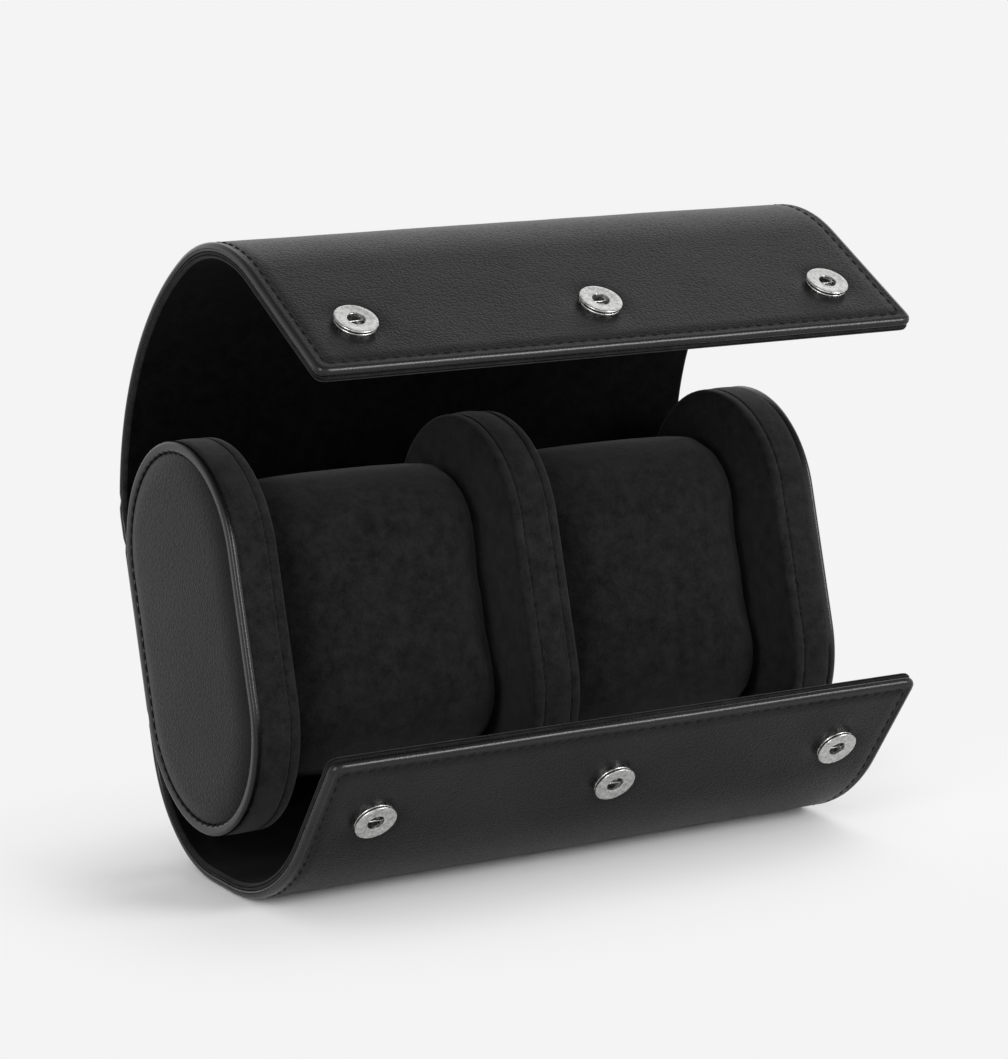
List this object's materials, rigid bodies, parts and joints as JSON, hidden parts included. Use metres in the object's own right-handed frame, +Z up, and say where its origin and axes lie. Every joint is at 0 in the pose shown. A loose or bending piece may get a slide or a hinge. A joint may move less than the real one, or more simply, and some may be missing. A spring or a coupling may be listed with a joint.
{
  "type": "watch storage case",
  "caption": "Soft roll case for watches that stands open on its rounded base, with padded end caps, a divider, sliding pillows and folding flaps closed by snaps.",
  "frame": {"origin": "on the floor, under the middle of the case's box", "axes": "+X along the case from its left end to its right end, +Y to the back, +Z up"},
  "size_m": [0.1526, 0.1022, 0.1404],
  "materials": {
    "leather": "fine-grained black leather, satin",
    "lining": "black microsuede lining, matt",
    "board": "pressed fibre board stiffener, bare",
    "suede": "black microsuede, matt",
    "pillow_suede": "black microsuede, matt, sewn at the ends",
    "foam": "grey open-cell foam",
    "piping": "black leather bead, satin",
    "cap_leather": "fine-grained black leather, padded, satin",
    "snap_metal": "polished nickel plating"
  },
  "bodies": {
    "case": {"back_leather": "leather", "back_board": "board", "back_lining": "lining", "left_cap_inner_panel": "suede", "left_cap_core": "foam", "left_cap_board": "board", "left_cap_wall": "suede", "left_cap_piping": "piping", "left_cap_face_leather": "cap_leather", "left_cap_face_foam": "foam", "right_cap_inner_panel": "suede", "right_cap_core": "foam", "right_cap_board": "board", "right_cap_wall": "suede", "right_cap_piping": "piping", "right_cap_face_leather": "cap_leather", "right_cap_face_foam": "foam", "divider_core": "foam", "divider_wall": "suede", "divider_left_panel": "suede", "divider_right_panel": "suede"},
    "upper_rear": {"upper_rear_leather": "leather", "upper_rear_board": "board", "upper_rear_lining": "lining"},
    "upper_crown": {"upper_crown_leather": "leather", "upper_crown_board": "board", "upper_crown_lining": "lining"},
    "upper_front": {"upper_front_leather": "leather", "upper_front_board": "board", "upper_front_lining": "lining", "upper_snap_caps": "snap_metal", "upper_snap_sockets": "snap_metal"},
    "lower_base": {"lower_base_leather": "leather", "lower_base_board": "board", "lower_base_lining": "lining"},
    "lower_front": {"lower_front_leather": "leather", "lower_front_board": "board", "lower_front_lining": "lining", "lower_snap_studs": "snap_metal", "lower_snap_washers": "snap_metal"},
    "left_pillow": {"left_pillow_cover": "pillow_suede", "left_pillow_foam": "foam"},
    "right_pillow": {"right_pillow_cover": "pillow_suede", "right_pillow_foam": "foam"}
  },
  "joints": [
    {"name": "upper_crease", "type": "hinge", "parent": "case", "child": "upper_rear", "pos_m": [0, 0.04871, 0.07526], "axis": [1, 0, 0], "range_deg": [-15, 29.05]},
    {"name": "upper_crown_fold", "type": "hinge", "parent": "upper_rear", "child": "upper_crown", "pos_m": [0, 0.03805, 0.11151], "axis": [1, 0, 0], "range_deg": [-19.02, 36.83]},
    {"name": "upper_front_fold", "type": "hinge", "parent": "upper_crown", "child": "upper_front", "pos_m": [0, -0.01634, 0.13516], "axis": [1, 0, 0], "range_deg": [-21.38, 11.04]},
    {"name": "lower_base_fold", "type": "hinge", "parent": "case", "child": "lower_base", "pos_m": [0, 0.00735, 0.0024], "axis": [-1, 0, 0], "range_deg": [0, 21]},
    {"name": "lower_front_fold", "type": "hinge", "parent": "lower_base", "child": "lower_front", "pos_m": [0, -0.03108, 0.0146], "axis": [-1, 0, 0], "range_deg": [0, 30.01]},
    {"name": "left_pillow_slide", "type": "slide", "parent": "case", "child": "left_pillow", "axis": [0, -0.9613, 0.2756], "range_m": [0, 0.007]},
    {"name": "right_pillow_slide", "type": "slide", "parent": "case", "child": "right_pillow", "axis": [0, -0.9613, 0.2756], "range_m": [0, 0.007]}
  ],
  "couplings": [
    {"joint": "upper_crown_fold", "follows": "upper_crease", "ratio": 1.2673},
    {"joint": "upper_front_fold", "follows": "upper_crease", "ratio": -0.73548},
    {"joint": "lower_front_fold", "follows": "lower_base_fold", "ratio": 1.4281}
  ]
}
